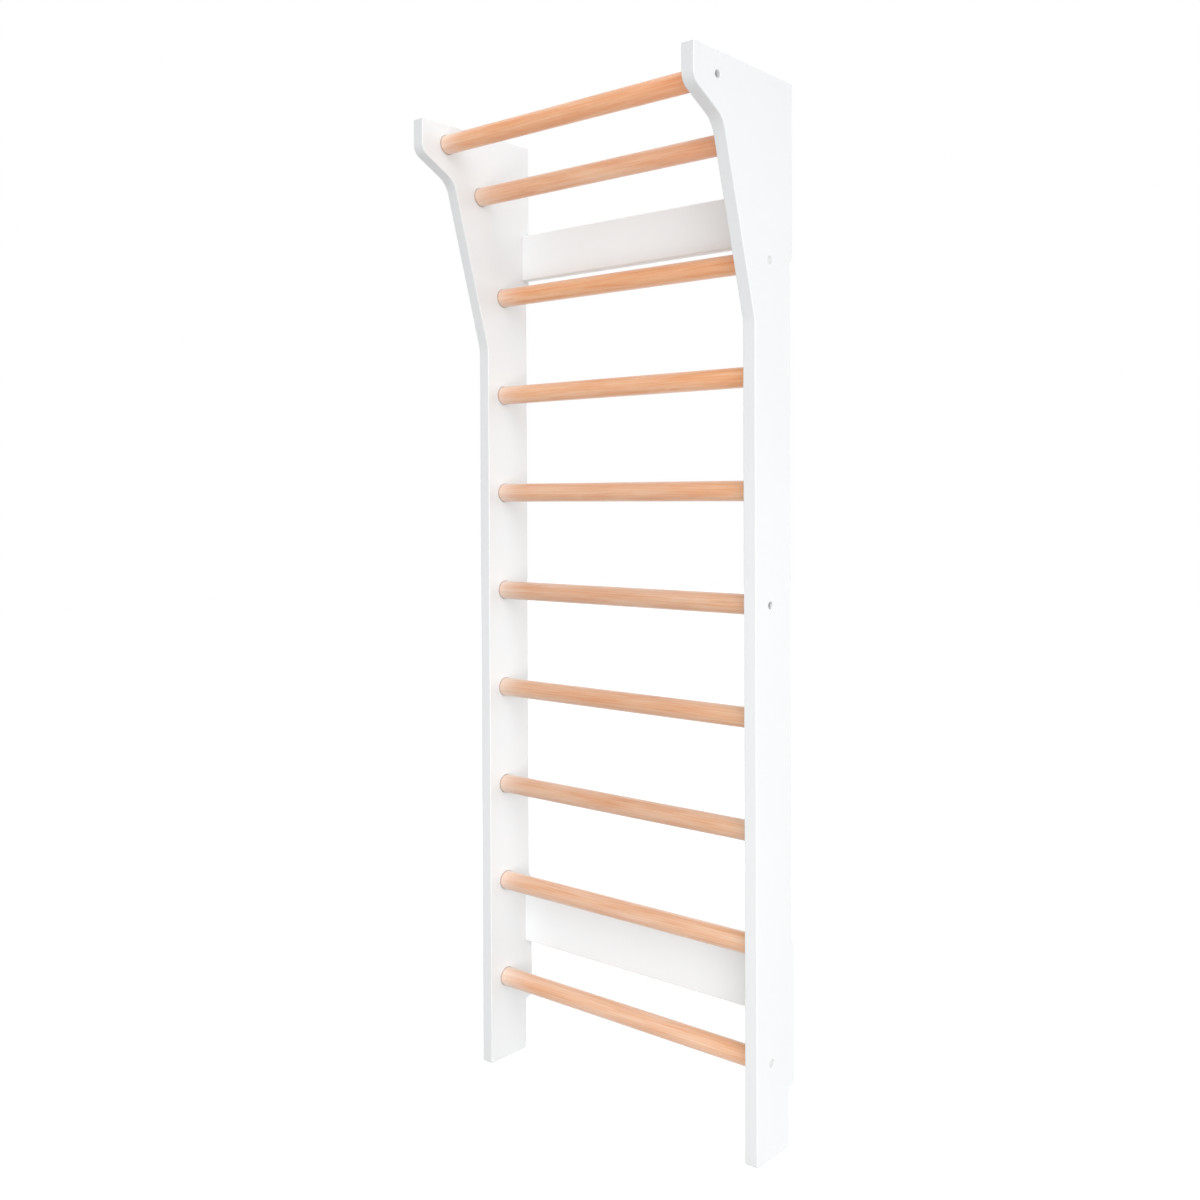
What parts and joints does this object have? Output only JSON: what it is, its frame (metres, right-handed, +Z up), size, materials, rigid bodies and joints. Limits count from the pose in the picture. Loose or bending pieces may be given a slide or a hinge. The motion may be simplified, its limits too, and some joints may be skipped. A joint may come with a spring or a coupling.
{
  "type": "wall bars",
  "caption": "Wall bars with round wooden rungs between two white side panels whose heads lean forward to carry the top rung, and two white back boards that lie against the wall.",
  "frame": {"origin": "on the floor under the middle of the whole object's box", "axes": "+Z up, +X to the right of a person facing the bars, +Y towards the wall"},
  "size_m": [0.71, 0.294, 1.95],
  "materials": {
    "white_lacquer": "satin white lacquer",
    "beech": "satin clear lacquer",
    "bolt_steel": "dark zinc",
    "insert_steel": "zinc plated",
    "cap_plastic": "satin light grey",
    "dowel_beech": "raw"
  },
  "bodies": {
    "root": {"left_side_panel": "white_lacquer", "right_side_panel": "white_lacquer", "upper_back_board": "white_lacquer", "lower_back_board": "white_lacquer", "rung_01": "beech", "rung_02": "beech", "rung_03": "beech", "rung_04": "beech", "rung_05": "beech", "rung_06": "beech", "rung_07": "beech", "rung_08": "beech", "rung_09": "beech", "rung_10": "beech", "left_bolt_01": "bolt_steel", "left_bolt_03": "bolt_steel", "left_bolt_06": "bolt_steel", "left_bolt_10": "bolt_steel", "right_bolt_01": "bolt_steel", "right_bolt_03": "bolt_steel", "right_bolt_06": "bolt_steel", "right_bolt_10": "bolt_steel", "left_insert_01": "insert_steel", "left_insert_03": "insert_steel", "left_insert_06": "insert_steel", "left_insert_10": "insert_steel", "right_insert_01": "insert_steel", "right_insert_03": "insert_steel", "right_insert_06": "insert_steel", "right_insert_10": "insert_steel", "left_cap_03": "cap_plastic", "left_cap_10": "cap_plastic", "right_cap_03": "cap_plastic", "right_cap_10": "cap_plastic", "left_dowel_upper_board_top": "dowel_beech", "left_dowel_upper_board_bottom": "dowel_beech", "left_dowel_lower_board_top": "dowel_beech", "left_dowel_lower_board_bottom": "dowel_beech", "right_dowel_upper_board_top": "dowel_beech", "right_dowel_upper_board_bottom": "dowel_beech", "right_dowel_lower_board_top": "dowel_beech", "right_dowel_lower_board_bottom": "dowel_beech"}
  },
  "joints": []
}
